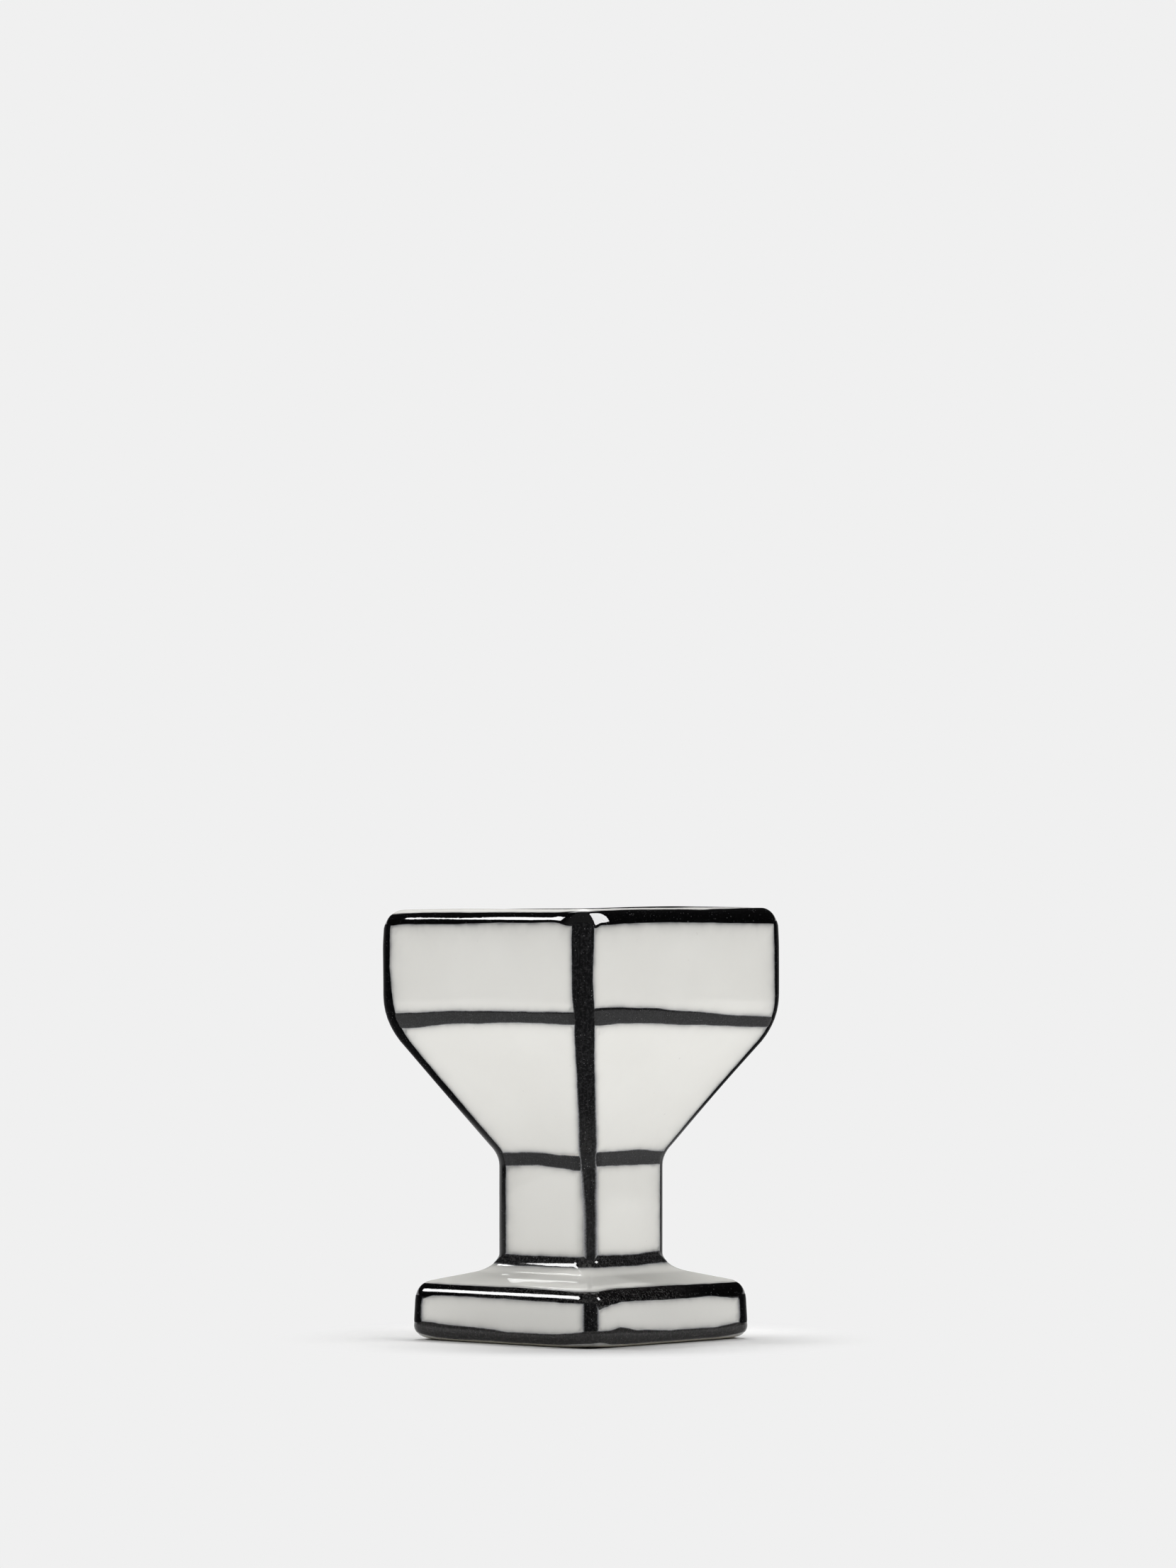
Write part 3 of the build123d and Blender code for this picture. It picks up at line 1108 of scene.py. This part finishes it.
add_bowl(glaze)
add_tube("stem_glazed", "stem", LOWER_SEAM_HIGH, UPPER_SEAM_LOW, glaze)
add_tube("foot_glazed", "foot", 0, LOWER_SEAM_LOW, foot_glaze)
add_tube("upper_slip", "slip_seam_upper", UPPER_SEAM_LOW, UPPER_SEAM_HIGH, slip)
add_tube("lower_slip", "slip_seam_lower", LOWER_SEAM_LOW, LOWER_SEAM_HIGH, slip)
band_blacks = {
    "rim_line": glossy_black,
    "shoulder_line": charcoal,
    "neck_line": charcoal,
    "stem_base_line": grainy_black,
    "foot_top_line": front_sheen_black,
    "foot_base_line": floor_sheen_charcoal,
}
for band_name, band in bands.items():
    add_band(band_name, band, band_blacks[band_name])
for stroke_name, stroke in strokes.items():
    # Front strokes take the black with painted sheen; the side strokes stay deep black.
    add_stroke(stroke_name, stroke, sheen_brushed_black if stroke.corner == FRONT else deep_black)


# The floor, in metres: its tones for the light and for the camera, and where they change. Under the cup the
# tone for the light is a painted shadow.

PALE = 0.8714
FLOOR_ALBEDO = 0.97
FLOOR_PAINTED_SHADOW = 0.55
PAINTED_SHADOW_INNER, PAINTED_SHADOW_OUTER = 0.026, 0.048
FLOOR_SEEN = 0.72
SHADOW_INNER, SHADOW_OUTER = 0.031, 0.053
FLOOR_REACH = 0.42
FLOOR_DROP = 0.00005


def add_floor():
    """A plain pale floor that shows the cup's shadow and fades to the backdrop's own tone."""
    mesh = bpy.data.meshes.new("floor")
    corners = [(x * FLOOR_REACH, y * FLOOR_REACH, -FLOOR_DROP) for x, y in CORNERS]
    mesh.from_pydata(corners, [], [(0, 1, 2, 3)])
    mesh.materials.append(pale_floor())
    floor = bpy.data.objects.new("floor", mesh)
    bpy.context.scene.collection.objects.link(floor)


def pale_floor():
    """Matt near the cup, where its shadow lies, with a painted shadow under it for the light only, and the
    backdrop's tone further out.
    """
    material = bpy.data.materials.new("pale_floor")
    tree = Tree(material)
    away = tree.add("VectorMath", {0: tree.place()}, operation="LENGTH").outputs["Value"]
    path = tree.add("LightPath").outputs
    mirrored = tree.math("MAXIMUM", path["Is Glossy Ray"], path["Is Transmission Ray"])
    seen = tree.math("MAXIMUM", path["Is Camera Ray"], mirrored)
    far = tree.times(tree.ramp(away, SHADOW_INNER, SHADOW_OUTER), seen)
    # Painted shadow: for the light it throws back, the floor is darker under the cup.
    painted_shadow = tree.ramp(away, PAINTED_SHADOW_INNER, PAINTED_SHADOW_OUTER)
    tone = tree.mix(painted_shadow, grey(FLOOR_PAINTED_SHADOW), grey(FLOOR_ALBEDO))
    tone = tree.mix(seen, tone, grey(FLOOR_SEEN))
    lit = tree.add("BsdfDiffuse", {"Color": tone})
    plain = tree.add("Emission", {"Color": grey(PALE), "Strength": 1.0})
    tree.shade({0: far, 1: lit.outputs[0], 2: plain.outputs[0]}, kind="MixShader")
    return material


# Brightness of the room and its lamps. Places are degrees to the left of the camera and degrees up.
# Edges are cosines of the angle from a lamp's middle, between which its light fades in.

DIM_ROOM = 0.02
OVERHEAD = 5.2
OVERHEAD_PLACE, OVERHEAD_EDGE = (180, 70), (0.90, 0.95)
BACKDROP = 0.87
BACKDROP_PLACE, BACKDROP_EDGE = (180, 0), (0.3, 0.7)
BACKDROP_TOP = (0.15, 0.25)
FRONT_ROOM = 0.2
FRONT_PLACE, FRONT_EDGE = (0, 0), (0.2, 0.6)
SOFTBOX_EDGE = 0.9
SOFTBOXES = (
    # Degrees to the left and up, half width and half height in degrees, and brightness.
    (94, 39, 11, 5.6, 18.0),
    (-72, 42, 7.5, 7.5, 18.0),
)


def add_light():
    """A dim room with a backdrop and soft lamps round the cup, which the camera sees as plain pale."""
    world = bpy.data.worlds.new("studio")
    bpy.context.scene.world = world
    tree = Tree(world)
    heading = tree.add("TexCoord").outputs["Generated"]

    def towards(left, up):
        """Cosine of the angle between the ray and a direction."""
        node = tree.add("VectorMath", {0: heading, 1: direction(left, up)}, operation="DOT_PRODUCT")
        return node.outputs["Value"]

    def inside(distance, half_angle):
        """1 within half an angle of a lamp's middle plane, and 0 outside it."""
        most = math.sin(math.radians(half_angle))
        return tree.ramp(tree.math("ABSOLUTE", distance), SOFTBOX_EDGE * most, most, 1, 0)

    def softbox(left, up, half_width, half_height):
        """1 on an oblong lamp and 0 beside it."""
        across = inside(towards(left + 90, 0), half_width)
        along = inside(towards(left, up - 90), half_height)
        ahead = tree.math("GREATER_THAN", towards(left, up), 0.0)
        return tree.times(tree.times(across, along), ahead)

    overhead = tree.ramp(towards(*OVERHEAD_PLACE), *OVERHEAD_EDGE)
    low = tree.ramp(towards(0, 90), *BACKDROP_TOP, 1, 0)
    behind = tree.times(tree.ramp(towards(*BACKDROP_PLACE), *BACKDROP_EDGE), low)
    ahead = tree.ramp(towards(*FRONT_PLACE), *FRONT_EDGE)
    lamps = [(overhead, OVERHEAD), (behind, BACKDROP), (ahead, FRONT_ROOM)]
    for *shape, strength in SOFTBOXES:
        lamps.append((softbox(*shape), strength))
    bright = DIM_ROOM
    for patch, strength in lamps:
        bright = tree.math("ADD", tree.times(patch, strength), bright)
    path = tree.add("LightPath").outputs
    mirrored = tree.times(path["Is Glossy Ray"], behind)
    pale_seen = tree.math("MAXIMUM", path["Is Camera Ray"], path["Is Transmission Ray"])
    pale_seen = tree.math("MAXIMUM", pale_seen, mirrored)
    studio = tree.add("Background", {"Color": grey(1), "Strength": bright})
    pale = tree.add("Background", {"Color": grey(PALE), "Strength": 1.0})
    both = tree.add("MixShader", {0: pale_seen, 1: studio.outputs[0], 2: pale.outputs[0]})
    tree.add("OutputWorld", {"Surface": both.outputs[0]})


# The photograph's frame in pixels: its size, the cup's axis, the eye level and the focal length.
# The camera's place and clipping are in metres, and its sensor in millimetres.

FRAME_WIDTH, FRAME_HEIGHT = 1659, 2212
AXIS_X, EYE_Y = 819.5, 1285.0
FOCAL_PIXELS = 9385.0
CAMERA_AWAY, CAMERA_HEIGHT = 1.144, 0.0734
CLIP_START, CLIP_END = 0.05, 50.0
SENSOR = 36.0


def add_camera():
    """The camera at the photograph's place, aimed to match its frame."""
    camera = bpy.data.cameras.new("camera")
    camera.sensor_fit = "VERTICAL"
    camera.sensor_height = SENSOR
    camera.lens = SENSOR * FOCAL_PIXELS / FRAME_HEIGHT
    camera.clip_start = CLIP_START
    camera.clip_end = CLIP_END
    holder = bpy.data.objects.new("camera", camera)
    bpy.context.scene.collection.objects.link(holder)
    turn = math.radians(VIEW_TURN)
    holder.location = (CAMERA_AWAY * math.sin(turn), -CAMERA_AWAY * math.cos(turn), CAMERA_HEIGHT)
    right = math.atan2(FRAME_WIDTH / 2 - AXIS_X, FOCAL_PIXELS)
    up = math.atan2(EYE_Y - FRAME_HEIGHT / 2, FOCAL_PIXELS)
    holder.rotation_euler = (math.pi / 2 + up, 0, turn - right)
    bpy.context.scene.camera = holder


add_floor()
add_light()
add_camera()
bpy.context.scene.view_settings.view_transform = "Standard"
